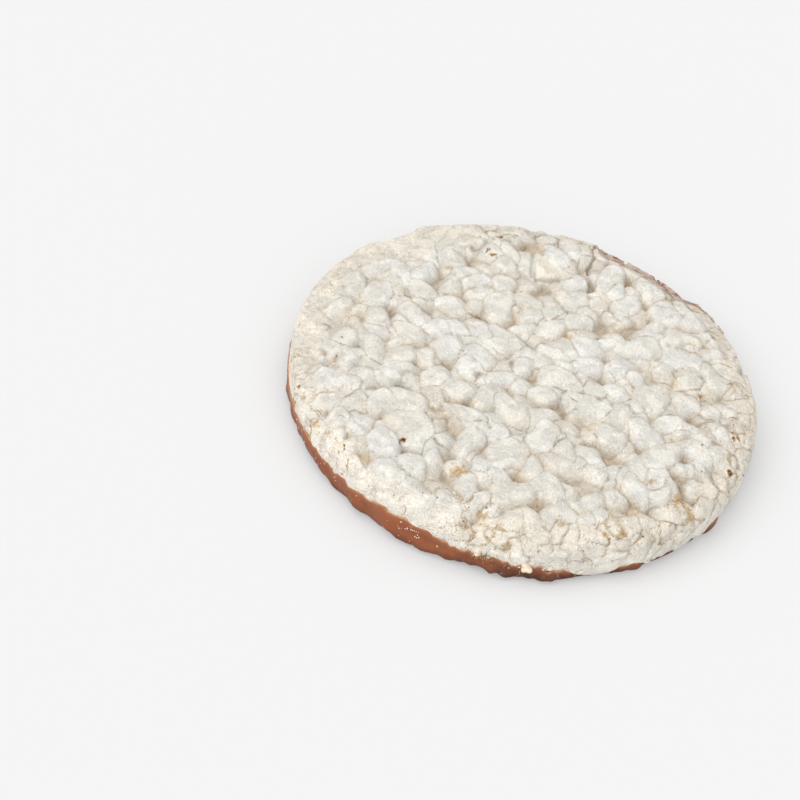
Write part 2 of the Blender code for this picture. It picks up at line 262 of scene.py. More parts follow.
def puff_grain(rng, centre, normal, size):
    """A grain's lobes: a long middle one and one to three smaller ones round it.

    Each lobe is its centre, its axes as columns and its three half sizes. The third axis
    points out of the cake, along which a lobe is flattest.
    """
    tilt = normal + rng.normal(0.0, 0.15, 3)
    axes = turned(tilt / np.linalg.norm(tilt), rng.uniform(0.0, np.pi))
    half = size * np.array([rng.uniform(0.48, 0.68), rng.uniform(0.36, 0.46), 0.27])
    lobes = [(centre, axes, half)]
    start = rng.uniform(0.0, 2.0 * np.pi)
    count = rng.integers(1, 4)
    for i in range(count):
        bearing = start + 2.0 * np.pi * (i + rng.uniform(-0.25, 0.25)) / count
        reach = rng.uniform(0.48, 0.82)
        offset = reach * (np.cos(bearing) * half[0] * axes[:, 0] + np.sin(bearing) * half[1] * axes[:, 1])
        lift = size * rng.uniform(-0.02, 0.10) * axes[:, 2]
        lobes.append((centre + offset + lift, axes, half * rng.uniform(0.58, 0.76)))
    return lobes


def loosened(azimuth):
    """How much less the grains are pressed into the mould's rim at the back left."""
    return 0.0005 * stretch(azimuth, 84.0, 132.0, 10.0)


def pack_grains(rng):
    """All grains whose surface shows: the crown's, a deeper layer, the ring's and the wall's."""
    inner = cake_radius - ring_full_width
    up = np.array([0.0, 0.0, 1.0])
    grains = []

    def on_disc(radius):
        return lambda r: polar(radius * np.sqrt(r.random()), r.uniform(0.0, 2.0 * np.pi), 0.0)

    def any_size(r):
        return r.uniform(*grain_size)

    crown, sizes = scatter(rng, 4000, on_disc(inner + 0.0008), any_size, crevices)
    for spot, size in zip(crown, sizes):
        sink = 0.27 * size + rng.triangular(-0.0005, -0.0001, 0.0009)
        top = mould_top(np.hypot(spot[0], spot[1]), np.arctan2(spot[1], spot[0]))
        grains.append(puff_grain(rng, spot + up * (top - sink), up, size))

    deeper, sizes = scatter(rng, scatter_tries, on_disc(inner), lambda r: deeper_size)
    for spot, size in zip(deeper, sizes):
        grains.append(puff_grain(rng, spot + up * (cake_height - deeper_layer), up, size))

    def on_ring(r):
        azimuth = r.uniform(0.0, 2.0 * np.pi)
        return polar(rice_radius(azimuth) - r.uniform(0.0009, 0.9 * ring_width(azimuth)), azimuth, 0.0)

    ring, sizes = scatter(rng, scatter_tries, on_ring, lambda r: r.uniform(0.0034, 0.0060))
    for spot, size in zip(ring, sizes):
        azimuth = np.arctan2(spot[1], spot[0])
        sink = 0.27 * size - rng.triangular(-0.0011, -0.0002, 0.0005) + loosened(azimuth)
        place, outward = mould_face(azimuth, np.hypot(spot[0], spot[1]) - rice_radius(azimuth))
        grains.append(puff_grain(rng, place - outward * sink, outward, size))

    wall_count = 50
    for row, along in enumerate((0.0049, 0.0014)):
        for i in range(wall_count):
            azimuth = 2.0 * np.pi * (i + 0.5 * row + rng.uniform(-0.3, 0.3)) / wall_count
            size = rng.uniform(0.0044, 0.0060)
            sink = 0.27 * size - rng.uniform(-0.0003, 0.0006) + loosened(azimuth)
            place, outward = mould_face(azimuth, along + rng.uniform(-0.0006, 0.0006))
            grains.append(puff_grain(rng, place - outward * sink, outward, size))
    return grains


def lobe_depth(points, inward, lobe):
    """How far below each mould point, along its inward direction, the lobe's surface lies.

    `off` is the square of a ray's distance from the lobe's centre line, and the lobe rises by
    the root of 1 - off ** plump: a pillow, flatter on top and steeper at its sides than a
    ball. Past its shoulder it goes on as a straight slope, which makes the creases.
    """
    centre, axes, half = lobe
    start = (points - centre) @ axes / half
    step = inward @ axes / half
    length = np.sum(step * step, axis=1)
    along = -np.sum(start * step, axis=1) / length
    off = np.sum(start * start, axis=1) - along * along * length
    rise = np.sqrt(1.0 - shoulder ** plump)
    fall = plump * shoulder ** (plump - 1.0) / (2.0 * rise)
    cap = np.sqrt(np.clip(1.0 - np.clip(off, 0.0, 1.0) ** plump, 0.0, None))
    depth = along - np.where(off < shoulder, cap, rise - fall * (off - shoulder)) / np.sqrt(length)
    return np.where(off < 1.7, depth, 1.0)


def puff_surface(points, inward, grains):
    """The nearest grain below each mould point, as a smooth minimum over all grains.

    Returns its depth, the gap to the second nearest grain, and that grain's number.
    """
    total = np.full(len(points), np.exp(-deepest_crease / grain_blend))
    first = np.full(len(points), deepest_crease)
    second = np.full(len(points), 2.0 * deepest_crease)
    owner = np.zeros(len(points), dtype=int)
    for number, lobes in enumerate(grains):
        near = np.flatnonzero(np.linalg.norm(points - lobes[0][0], axis=1) < grain_reach)
        share = np.zeros(len(near))
        for lobe in lobes:
            depth = lobe_depth(points[near], inward[near], lobe)
            share += np.exp(-np.clip(depth, -0.003, 0.009) / lobe_blend)
        depth = -lobe_blend * np.log(share + 1e-12)
        total[near] += np.exp(-np.clip(depth, -0.003, 0.009) / grain_blend)
        closer = depth < first[near]
        second[near] = np.where(closer, first[near], np.minimum(second[near], depth))
        first[near] = np.where(closer, depth, first[near])
        owner[near] = np.where(closer, number, owner[near])
    return -grain_blend * np.log(total), second - first, owner


def mould_top(radius, azimuth):
    """Height of the mould over the crown and the ring."""
    across = (radius - (rice_radius(azimuth) - ring_width(azimuth))) / ring_width(azimuth)
    step = ring_step * ramp(across, -0.25, 0.10)
    return cake_height - step - ring_drop(azimuth) * np.clip(across, 0.0, 1.0)


def bend_radius(azimuth):
    """Radius of the mould's rounded edge: twice as large at the front, and never down to the lip."""
    full = edge_round * (1.0 + stretch(azimuth, 225.0, 350.0, 20.0))
    room = mould_top(rice_radius(azimuth), azimuth) - lip_height(azimuth)
    return np.minimum(full, 0.85 * np.maximum(room, 0.0004))


def mould_face(azimuth, along):
    """Points of the mould, and their outward directions, by distance from its outer edge.

    Negative `along` is distance inwards over the ring and the crown, and positive is distance
    down the wall. Near 0 the two meet in a quarter circle.
    """
    bend = bend_radius(azimuth)
    lean = 0.25 * np.pi * (1.0 + np.clip(along / bend, -1.0, 1.0))
    inset = np.maximum(bend * (1.0 - np.sin(lean)), -along)
    drop = np.maximum(bend * (1.0 - np.cos(lean)), along)
    radius = rice_radius(azimuth) - inset
    place = polar(radius, azimuth, mould_top(radius, azimuth) - drop)
    return place, polar(np.sin(lean), azimuth, np.cos(lean))


def mesh_piece(name, vertices, faces, material, measures=None):
    """A smooth-shaded mesh object from arrays, with a named number on each vertex."""
    mesh = bpy.data.meshes.new(name)
    mesh.from_pydata(vertices.tolist(), [], faces)
    mesh.materials.append(material)
    mesh.shade_smooth()
    for label, values in (measures or {}).items():
        layer = mesh.attributes.new(label, "FLOAT", "POINT")
        layer.data.foreach_set("value", np.asarray(values, dtype=np.float32))
    piece = bpy.data.objects.new(name, mesh)
    bpy.context.scene.collection.objects.link(piece)
    return piece


def new_material(name):
    """An empty material, its node tree and its Principled shader."""
    material = bpy.data.materials.new(name)
    material.use_nodes = True
    return material, material.node_tree, material.node_tree.nodes["Principled BSDF"]


def connect(target, inputs):
    """Set or link each named input of a node."""
    for key, value in inputs.items():
        if isinstance(value, Field):
            value = value.socket
        if isinstance(value, bpy.types.NodeSocket):
            target.id_data.links.new(value, target.inputs[key])
        else:
            target.inputs[key].default_value = value
    return target


def node(tree, kind, inputs=None, **settings):
    """A new node with its settings and its inputs."""
    made = tree.nodes.new(kind)
    for key, value in settings.items():
        setattr(made, key, value)
    return connect(made, inputs or {})


class Field:
    """A number worked out by nodes over a surface. Fields add and multiply as numbers do."""

    def __init__(self, socket):
        self.socket = socket

    def put_through(self, operation, other=0.0):
        """The result of a mathematical operation on this field and another one or a number."""
        made = node(self.socket.id_data, "ShaderNodeMath", {0: self, 1: other}, operation=operation)
        return Field(made.outputs[0])

    def __add__(self, other):
        return self.put_through("ADD", other)

    def __mul__(self, other):
        return self.put_through("MULTIPLY", other)

    def between(self, low, high):
        """The field stretched so that `low` becomes 0 and `high` becomes 1, eased at both ends."""
        made = node(self.socket.id_data, "ShaderNodeMapRange",
                    {"Value": self, "From Min": low, "From Max": high}, interpolation_type="SMOOTHSTEP")
        return Field(made.outputs["Result"])


def attributes(tree, *labels):
    """The fields that the vertices hold under these labels."""
    return [Field(node(tree, "ShaderNodeAttribute", attribute_name=label).outputs["Fac"]) for label in labels]


def noise(place, scale, detail, roughness=0.5):
    """Cloudy noise from 0 to 1."""
    made = node(place.id_data, "ShaderNodeTexNoise", {"Vector": place, "Scale": scale, "Detail": detail,
                                                      "Roughness": roughness})
    return Field(made.outputs["Fac"])


def painted(under, colour, cover):
    """Colour `under`, hidden by `colour` as far as the field `cover` says."""
    made = node(cover.socket.id_data, "ShaderNodeMix", {0: cover, 6: under, 7: colour}, data_type="RGBA")
    return made.outputs[2]


def relief(height, strength, distance):
    """Normals of a fine relief whose height is a field."""
    made = node(height.socket.id_data, "ShaderNodeBump", {"Height": height, "Strength": strength,
                                                          "Distance": distance})
    return made.outputs["Normal"]


def rice_material():
    """Puffed starch: off-white and matt, porous, with husk and bran; tan in the creases, with painted shade
    in the creases, pockets, pores and down the grains' sides, and painted light on the wall and in glints.
    """
    material, tree, shader = new_material("puffed rice")
    place = node(tree, "ShaderNodeTexCoord").outputs["Object"]
    crease, hollow, side, stain, face, film, ring, painted_wall_light, tone = attributes(
        tree, "crease", "hollow", "side", "stain", "face", "film", "ring", "painted_wall_light", "grain_tone")

    puff_white = (0.715, 0.70, 0.655, 1.0)
    puff_cream = (0.69, 0.655, 0.58, 1.0)
    ring_cream = (0.71, 0.645, 0.54, 1.0)
    painted_glint_white = (0.92, 0.91, 0.88, 1.0)
    wall_light_white = (0.84, 0.80, 0.72, 1.0)
    side_shade_peach = (0.63, 0.56, 0.46, 1.0)
    pore_shade_grey = (0.40, 0.36, 0.30, 1.0)
    crease_tan_and_shade = (0.31, 0.23, 0.14, 1.0)
    pocket_shade_brown = (0.38, 0.27, 0.15, 1.0)
    vein_olive = (0.36, 0.30, 0.19, 1.0)
    crease_shade_dark = (0.19, 0.14, 0.085, 1.0)
    husk_gold = (0.46, 0.29, 0.11, 1.0)
    scorched = (0.27, 0.145, 0.060, 1.0)
    pit_brown = (0.075, 0.030, 0.018, 1.0)
    broken_cream = (0.72, 0.665, 0.56, 1.0)
    film_brown = (0.22, 0.10, 0.065, 1.0)
    film_pale = (0.53, 0.43, 0.365, 1.0)

    # White and cream grains with a creamy ring; peach painted shade down the grains' sides, and painted light
    # that makes the wall whiter.
    base = painted(puff_white, puff_cream, (noise(place, 75.0, 3.0) + tone * 0.28).between(0.48, 0.84))
    base = painted(base, side_shade_peach, side * noise(place, 260.0, 2.0).between(0.30, 0.62) * 0.6)
    base = painted(base, ring_cream, ring * 0.7)
    # Painted light: the wall is made whiter, as if lit.
    base = painted(base, wall_light_white, painted_wall_light * 0.8)

    # Warped places make the bubbles and the fine lines wander.
    bend = node(tree, "ShaderNodeTexNoise", {"Vector": place, "Scale": 700.0, "Detail": 2.0}).outputs["Color"]
    wander = node(tree, "ShaderNodeVectorMath", {0: bend, 1: (0.0012, 0.0012, 0.0012), 2: place},
                  operation="MULTIPLY_ADD").outputs[0]
    cells = node(tree, "ShaderNodeTexVoronoi", {"Vector": wander, "Scale": 2900.0})
    bubbles = Field(cells.outputs["Distance"])
    fibres = noise(wander, 2900.0, 3.0, 0.75)
    smooth = noise(place, 300.0, 2.0).between(0.36, 0.56)
    hollows = (bubbles * 0.4 + fibres * -1.0) * (smooth * 0.7 + 0.3)
    # Painted shade in the pores.
    base = painted(base, pore_shade_grey, hollows.between(-0.18, 0.02) * (ring * -0.02 + 0.50))
    # Painted highlights: the tops of the fibres are whitened as if catching the light.
    base = painted(base, painted_glint_white, fibres.between(0.55, 0.68) * 0.60)

    # Veins run where a noise crosses its middle value.
    veins = (noise(wander, 420.0, 4.0, 0.6) + -0.5).put_through("ABSOLUTE").between(0.020, 0.0)
    veins *= noise(place, 190.0, 3.0).between(0.44, 0.60)
    base = painted(base, vein_olive, veins * (ring * 0.36 + 0.18))
    # Painted shade, tinted brown, in the deep pockets between the grains.
    base = painted(base, pocket_shade_brown, hollow * 0.55)

    # Seams between the grains: tan with painted shade and broken, gold where husk lies, and darker in places
    # with painted shade.
    seam = crease.put_through("POWER", 2.0)
    broken = (noise(place, 550.0, 4.0, 0.6) + ring * 0.06).between(0.36, 0.56)
    husk_area = noise(place, 110.0, 4.0).between(0.50, 0.66)
    crumbly = noise(wander, 1500.0, 3.0, 0.7).between(0.46, 0.60)
    base = painted(base, husk_gold, (side + ring * 0.5) * husk_area * (crumbly * 0.45))
    base = painted(base, crease_tan_and_shade, seam * broken * (ring * 0.08 + 0.56))
    base = painted(base, husk_gold, seam * husk_area * (crumbly * 0.75))
    base = painted(base, crease_shade_dark, seam * seam * noise(place, 330.0, 3.0).between(0.50, 0.64) * 0.55)

    # Stains are gold at their ragged edge, then brown, and a pit is dark in its middle.
    ragged = stain + noise(wander, 1300.0, 4.0, 0.75) * 1.1
    base = painted(base, husk_gold, ragged.between(0.86, 1.06) * 0.65)
    base = painted(base, scorched, ragged.between(1.06, 1.30) * 0.85)
    base = painted(base, pit_brown, ragged.between(1.42, 1.62))

    base = painted(base, broken_cream, face * 0.8)
    film_colour = painted(film_brown, film_pale, noise(wander, 520.0, 3.0, 0.65).between(0.40, 0.56))
    wiped = (film + noise(wander, 420.0, 4.0, 0.7) * 1.4).between(1.10, 1.40)
    base = painted(base, film_colour, wiped * 0.8)

    height = hollows * -0.9 + seam * (ring * -0.12 + -0.16)
    connect(shader, {"Base Color": base, "Roughness": 0.72, "Specular IOR Level": 0.25,
                     "Normal": relief(height, 0.9, 0.00060)})
    return material


def broken_grain(points):
    """A grain that snapped off: a smooth three-cornered face sloping down to the front.

    Returns a mask, eased over its edges, the depth, which grows from the back edge, and the
    groove that runs outside its left and front edges.
    """
    corners = np.array([(-0.0044, 0.0337), (-0.0033, 0.0257), (0.0042, 0.0291)])
    inside = []
    for start, stop in zip(corners, np.roll(corners, -1, axis=0)):
        side = (stop - start) / np.linalg.norm(stop - start)
        inside.append(side[0] * (points[:, 1] - start[1]) - side[1] * (points[:, 0] - start[0]))
    left, front, back = inside
    mask = ramp(np.min(inside, axis=0), -0.00010, 0.00025)
    groove = np.exp(-((np.minimum(left, front) + 0.00045) / 0.00045) ** 2)
    groove *= ramp(np.minimum(back, np.maximum(left, front)), -0.0004, 0.0006)
    return mask, 0.0002 + 0.0012 * np.clip(back / 0.0070, 0.0, 1.0), groove


def rim_crack(points):
    """A crack from a pocket in the crown to the rim at the back: 1 along it, 0 beside it."""
    bend = 0.0070 + 0.00030 * np.sin(900.0 * points[:, 1]) + 0.00012 * np.sin(2600.0 * points[:, 1])
    across = np.abs(points[:, 0] - bend)
    return np.exp(-(across / 0.00028) ** 2) * (points[:, 1] > 0.0315)


def hanging_foot(azimuth):
    """How far the wall hangs over the coat at the right, in uneven scallops 2 to 4 mm wide."""
    arc = polar(cake_radius, azimuth, 0.0)
    hang = np.clip(0.62 + 0.40 * ripple(arc, 0.0042, 91) + 0.2 * ripple(arc, 0.0018, 92), 0.0, 1.1)
    return 0.0010 * hang * (1.0 - 0.8 * laid_bare(azimuth)) * stretch(azimuth, 297.0, 352.0, 5.0)


def stains(points):
    """How stained each point is: a bell round each of the stained places."""
    strength = np.zeros(len(points))
    shift_x = 0.00035 * ripple(points, 0.0013, 95)
    shift_y = 0.00035 * ripple(points, 0.0013, 96)
    for x, y, reach, weight in stained_places:
        away = np.hypot(points[:, 0] - x + shift_x, points[:, 1] - y + shift_y)
        strength = np.maximum(strength, weight * np.exp(-(away / reach) ** 2))
    return strength


def wiped_film(azimuth, inset):
    """Where a film of chocolate was wiped over the ring at the back, widest over its middle."""
    reach = 0.0018 + 0.0036 * stretch(azimuth, 52.0, 79.0, 7.0)
    return stretch(azimuth, 43.0, 77.0, 7.0) * (1.0 - ramp(inset, 0.3 * reach, 1.1 * reach))


def rice_surface():
    """The rice body: crown and ring from the disc grid, then the wall, shoulder and foot."""
    share, azimuth, quads, rim = disc_grid(crown_cells)
    crown, crown_out = mould_face(azimuth, (share - 1.0) * rice_radius(azimuth))
    turn = azimuth[rim]
    top = mould_top(rice_radius(turn), turn)
    seat = np.maximum(lip_height(turn) - lip_overlap, coat_floor + 2.0 * fit_gap) - hanging_foot(turn)
    down = np.arange(1, wall_rows + 1)[:, None] / wall_rows
    wall, wall_out = mould_face(turn, (top - seat) * down)

    mould = np.concatenate([crown, wall.reshape(-1, 3)])
    out = np.concatenate([crown_out, wall_out.reshape(-1, 3)])
    warp = np.stack([0.00028 * ripple(mould, 0.0080, 40 + i) + 0.00003 * ripple(mould, 0.0026, 50 + i)
                     for i in range(3)], axis=1)
    raw, parting, owner = puff_surface(mould + warp, -out, pack_grains(np.random.default_rng(grain_seed)))
    raw += 0.00004 * ripple(mould, 0.0024, 60) + 0.00002 * ripple(mould, 0.0012, 61)
    depth = pressed_blend * np.log1p(np.exp(np.clip(raw / pressed_blend, -40.0, 40.0)))
    pressed = ramp(-raw, -0.00005, 0.00020)
    depth += pressed_crack * pressed * np.exp(-parting / 0.00018) + 0.000018 * ripple(mould, 0.0008, 62)

    around = np.arctan2(mould[:, 1], mould[:, 0])
    inset = rice_radius(around) - np.hypot(mould[:, 0], mould[:, 1])
    smooth_side = stretch(around, 214.0, 258.0, 12.0) * (1.0 - ramp(inset, 0.0022, 0.0040))
    flat_ring = stretch(around, 120.0, 196.0, 14.0) * (1.0 - ramp(inset / ring_width(around), 0.8, 1.3))
    calm = 0.4 * smooth_side + 0.5 * flat_ring
    depth *= 1.0 - calm
    shallow_side = stretch(around, 112.0, 205.0, 12.0) * (1.0 - ramp(inset, 0.010, 0.015))
    level_off = deepest_crease * (1.0 - 0.5 * shallow_side)
    depth = depth / (1.0 + (depth / level_off) ** 4) ** 0.25
    limit = np.minimum(deepest_crease, 0.0005 + 0.7 * inset)
    limit[len(crown):] = 0.6 * (coat_wall + fit_gap)
    limit[rim] = 0.6 * (coat_wall + fit_gap)
    near_lip = 0.00025 + 0.0006 * ramp(mould[:, 2] - lip_height(around), 0.0006, 0.0020)
    on_wall = inset < 0.0001
    depth = np.minimum(depth, np.where(on_wall, np.minimum(limit, near_lip), limit))
    face, face_depth, groove = broken_grain(mould)
    crack_line = rim_crack(mould)
    depth += (face_depth - depth) * face + groove_depth * groove
    depth += rim_crack_depth * crack_line * (inset > 0.0001)
    tuck = stretch(turn, 297.0, 352.0, 5.0) * (1.0 - ramp(wall[..., 2] - seat, 0.0, 0.0010))
    depth[len(crown):] += 0.0004 * tuck.ravel()
    surface = mould - out * depth[:, None]

    foot_radius = np.minimum(coat_radius(turn) - coat_wall - fit_gap, rice_radius(turn) - 0.0006)
    foot = coat_floor + fit_gap
    vertices = np.concatenate([surface, polar(foot_radius, turn, np.maximum(seat, foot)),
                               polar(foot_radius, turn, foot)])
    below = len(crown) + np.arange((wall_rows + 2) * len(rim)).reshape(wall_rows + 2, len(rim))
    rings = np.vstack([rim, below])
    faces = quads.tolist() + band_quads(rings).tolist() + [rings[-1][::-1].tolist()]

    crease = (1.0 - ramp(parting, 0.0, 0.0004)) * (1.0 - face) * (1.0 - 0.8 * calm)
    measures = {
        "crease": np.maximum(crease, crack_line),
        "ring": 1.0 - ramp(inset, 0.9 * ring_width(around), 1.2 * ring_width(around)),
        # Painted light: outward-facing wall and the smooth lower left side, to be coloured lighter as if lit.
        "painted_wall_light": np.maximum(ramp(1.0 - out[:, 2], 0.1, 0.9), 0.5 * smooth_side),
        "face": face,
        "film": wiped_film(around, inset),
        "hollow": ramp(depth, 0.0009, 0.0021),
        "stain": stains(surface),
        "side": ramp(depth, 0.00010, 0.00110),
        "grain_tone": np.random.default_rng(grain_seed + 5).random(most_grains)[owner],
    }
    buried = np.zeros(2 * len(rim))
    return vertices, faces, {label: np.append(values, buried) for label, values in measures.items()}


rice_vertices, rice_faces, rice_measures = rice_surface()
puffed_rice_body = mesh_piece("puffed_rice_body", rice_vertices, rice_faces, rice_material(), rice_measures)
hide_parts("puffed_rice")
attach(puffed_rice_body, "root")


# Chocolate coat: milk chocolate that the cake was laid in while it was liquid. It covers the
# underside, where it sank between the grains in dimples and pinched pits, and turns up round
# the wall in a lumpy lip that clings to the rice.

coat_cells = 200
edge_rows = 8
wall_steps = 12
cap_steps = 6
thin_rows = 11
lip_cap = 0.00022
lip_seat = 0.0012
dimple_radius = (0.0022, 0.0040)
dimple_depth = 0.0005
dimple_count = 16
pit_count = 17
rest_radius = 0.0100

# Drips that set at the foot of the lip: azimuth in degrees, height, reach and rise.
drips = (
    (223.0, 0.0022, 0.0022, 0.00030), (238.0, 0.0020, 0.0026, 0.00034), (249.0, 0.0022, 0.0024, 0.00036),
    (259.5, 0.0018, 0.0022, 0.00046), (264.5, 0.0016, 0.0013, 0.00040), (273.0, 0.0017, 0.0013, 0.00046),
    (277.5, 0.0009, 0.0016, 0.00080), (283.5, 0.0009, 0.0013, 0.00025), (288.0, 0.0010, 0.0015, 0.00010),
    (294.0, 0.0010, 0.0012, 0.00010),
)


def add_dimples(points, rng):
    """Shallow round wells in the underside, none of them in its middle."""
    def place(r):
        reach = np.sqrt(r.uniform((rest_radius / cake_radius) ** 2, 0.62))
        return polar(cake_radius * reach, r.uniform(0.0, 2.0 * np.pi), 0.0)

    centres, _ = scatter(rng, 400, place, lambda r: 3.0 * dimple_radius[1])
    depth = np.zeros(len(points))
    for centre in centres[:dimple_count]:
        width = rng.uniform(*dimple_radius)
        away = np.linalg.norm(points[:, :2] - centre[:2], axis=1)
        depth = np.maximum(depth, dimple_depth * (1.0 - ramp(away, 0.0, width)))
    return depth


def pinched_pits(points, rng):
    """Small pits that fall off as exp(-distance), each with three creases running into it."""
    depth = np.zeros(len(points))
    for _ in range(pit_count):
        centre = polar(cake_radius * 0.88 * np.sqrt(rng.random()), rng.uniform(0.0, 2.0 * np.pi), 0.0)
        away = points[:, :2] - centre[:2]
        distance = np.linalg.norm(away, axis=1)
        bearing = np.arctan2(away[:, 1], away[:, 0])
        size = rng.uniform(0.0005, 0.0010)
        arms = 1.0 + 0.8 * np.cos(3.0 * bearing + rng.uniform(0.0, 2.0 * np.pi)) ** 3
        depth = np.maximum(depth, rng.uniform(0.0004, 0.0009) * np.exp(-distance / (size * arms + 0.0001)))
    return depth


def underside_height(points):
    """Height of the underside: dimples, pits, a slow swell and the streaks of its spreading."""
    swell = 0.00013 * np.clip(ripple(points, 0.0100, 71) + 0.3, 0.0, None)
    streaks = 0.000012 * ripple(points * (0.06, 1.0, 1.0), 0.0021, 72)
    height = add_dimples(points, np.random.default_rng(grain_seed + 1))
    height += pinched_pits(points, np.random.default_rng(grain_seed + 2)) + swell
    return np.clip(height + streaks, 0.0, coat_floor - 0.0002)


def lip_rings(turn):
    """The lip's section at each azimuth, as rows of points and their outward directions.

    A quarter circle from the underside to the wall, a wall that swells low down and leans in
    to the rice, a half circle over the top, and the hidden side down to the rice's seat.
    """
    arc = polar(cake_radius, turn, 0.0)
    neck = stretch(turn, 266.0, 270.0, 4.0)
    front = stretch(turn, 264.0, 300.0, 5.0)
    lip = lip_height(turn) + 0.00016 * ripple(arc, 0.0036, 73)
    lip += 0.00010 * (1.0 + 1.6 * front) * ripple(arc, 0.0015, 74)
    lip -= 0.0005 * neck
    foot = 0.0012 + 0.0007 * stretch(turn, 200.0, 238.0, 14.0) + 0.0011 * neck
    foot = np.minimum(foot * (1.0 + 0.22 * ripple(arc, 0.0040, 75)), 0.5 * lip)
    outside = coat_radius(turn)
    under_rice = stretch(turn, 296.0, 350.0, 8.0) * (1.0 - laid_bare(turn))
    top_radius = np.minimum(outside, rice_radius(turn)) + 0.00016 * (1.0 - under_rice)

    rings = []
    for angle in np.linspace(0.0, 0.5 * np.pi, edge_rows):
        rings.append(polar(outside - foot * (1.0 - np.sin(angle)), turn, foot * (1.0 - np.cos(angle))))
    for rise in np.linspace(0.0, 1.0, wall_steps + 1)[1:]:
        radius = outside + (top_radius - outside) * ramp(rise, 0.2, 1.0)
        rings.append(polar(radius, turn, foot + (lip - lip_cap - foot) * rise))
    for angle in np.linspace(0.0, np.pi, cap_steps + 1)[1:]:
        radius = top_radius - lip_cap * (1.0 - np.cos(angle))
        rings.append(polar(radius, turn, lip - lip_cap * (1.0 - np.sin(angle))))
    skin = np.stack(rings)

    # Lumps push the skin outwards, most in the lower half and not at all where it turns over.
    low = np.linspace(0.0, 1.0, len(rings))[:, None]
    weight = ramp(low, 0.0, 0.25) * (1.0 - 0.75 * ramp(low, 0.35, 0.75)) * (1.0 - ramp(low, 0.72, 0.80))
    flat = skin.reshape(-1, 3)
    lumps = np.clip(0.9 + 1.1 * ripple(flat * (1.0, 1.0, 0.5), 0.0048, 76), 0.0, None)
    lumps = 0.00017 * lumps + 0.00003 * ripple(flat, 0.0019, 77) + 0.000015 * ripple(flat, 0.0008, 78)
    lumps = lumps.reshape(len(rings), -1) * (1.0 + 0.5 * stretch(turn, 242.0, 292.0, 8.0))
    lumps += 0.00017 * front * ripple(flat, 0.0023, 79).reshape(len(rings), -1)
    for azimuth, height, reach, rise in drips:
        centre = polar(cake_radius, np.radians(azimuth), height)
        away = np.linalg.norm((skin - centre) * (1.0, 1.0, 1.6), axis=-1)
        lumps += rise * np.exp(-(away / reach) ** 2)
    push = weight * (1.0 - 0.8 * under_rice) * lumps
    skin = skin + polar(push, turn, 0.0)

    hidden = [polar(outside - lip_seat, turn, lip - lip_overlap), polar(outside - lip_seat, turn, coat_floor)]
    return np.concatenate([skin, np.stack(hidden)])


def coat_surface():
    """The coat as one closed skin, with where it is thin, faces down and lies at the front."""
    share, azimuth, quads, rim = disc_grid(coat_cells)
    turn = azimuth[rim]
    rings = lip_rings(turn)
    reach = np.interp(azimuth, np.sort(turn), np.hypot(rings[0, :, 0], rings[0, :, 1])[np.argsort(turn)],
                      period=2.0 * np.pi)
    underside = polar(share * reach, azimuth, 0.0)
    fade = 1.0 - ramp(share, 0.975, 0.998)
    underside[:, 2] = underside_height(underside) * fade
    vertices = np.concatenate([underside, rings[1:].reshape(-1, 3)])
    numbers = len(underside) + np.arange((len(rings) - 1) * len(rim)).reshape(len(rings) - 1, len(rim))
    bands = band_quads(np.vstack([rim, numbers]))
    faces = quads[:, ::-1].tolist() + bands[:, ::-1].tolist() + [numbers[-1].tolist()]
    thin = np.zeros(len(vertices))
    shown = len(vertices) - 2 * len(rim)
    thin[shown - thin_rows * len(rim):shown] = np.repeat(np.linspace(0.0, 1.0, thin_rows), len(rim))
    below = np.concatenate([1.0 - ramp(share, 0.93, 0.99), np.zeros(len(vertices) - len(share))])
    # Where the lip lies under the rice at the front, for painted shade.
    front = stretch(np.arctan2(vertices[:, 1], vertices[:, 0]), 271.0, 300.0, 8.0)
    return vertices, faces, {"thin": thin, "below": below, "front": front}


def chocolate_material(name, bloom_start):
    """Milk chocolate: satin, streaked, lighter where thin, with bloom where noise is high enough, and painted
    shade low on the lip and under the rice at the front.
    """
    material, tree, shader = new_material(name)
    place = node(tree, "ShaderNodeTexCoord").outputs["Object"]
    thin, below, front = attributes(tree, "thin", "below", "front")
    milk_brown = (0.245, 0.074, 0.028, 1.0)
    streak_and_shade_brown = (0.070, 0.021, 0.010, 1.0)
    thin_brown = (0.40, 0.165, 0.075, 1.0)
    edge_tan = (0.66, 0.40, 0.22, 1.0)
    bloom_grey = (0.52, 0.40, 0.335, 1.0)

    height = Field(node(tree, "ShaderNodeSeparateXYZ", {0: place}).outputs["Z"])
    # Painted shade: darker towards the foot of the lip, much less over the underside.
    low = (height + noise(place, 350.0, 3.0) * 0.0016).between(0.0036, 0.0010) * (below * -0.75 + 1.0)
    streaks = noise(place, 160.0, 3.0).between(0.38, 0.66) * 0.25
    # Painted shade under the rice that hangs over the lip at the front; the other streaks are the chocolate's
    # own.
    streaks += front * (noise(place, 420.0, 3.0, 0.6) * 0.75)
    base = painted(milk_brown, streak_and_shade_brown, low * 0.75 + streaks)
    base = painted(base, thin_brown, thin * 0.75)
    base = painted(base, edge_tan, (thin + noise(place, 800.0, 2.0) * 0.3).between(0.55, 0.90) * 0.6)
    base = painted(base, thin_brown, noise(place, 1500.0, 3.0, 0.7).between(0.60, 0.70) * 0.22)
    bloom = noise(place, 420.0, 4.0, 0.65).between(bloom_start, bloom_start + 0.10)
    bloom *= noise(place, 2100.0, 2.0).between(bloom_start - 0.08, bloom_start + 0.06)
    bloom *= height.between(0.0030, 0.0052)
    base = painted(base, bloom_grey, bloom * 0.85)

    dull = noise(place, 330.0, 3.0).between(0.35, 0.70) * 0.14 + 0.34
    connect(shader, {"Base Color": base, "Roughness": dull, "Specular IOR Level": 0.28,
                     "Normal": relief(noise(place, 1300.0, 4.0, 0.65), 0.5, 0.00012)})
    return material


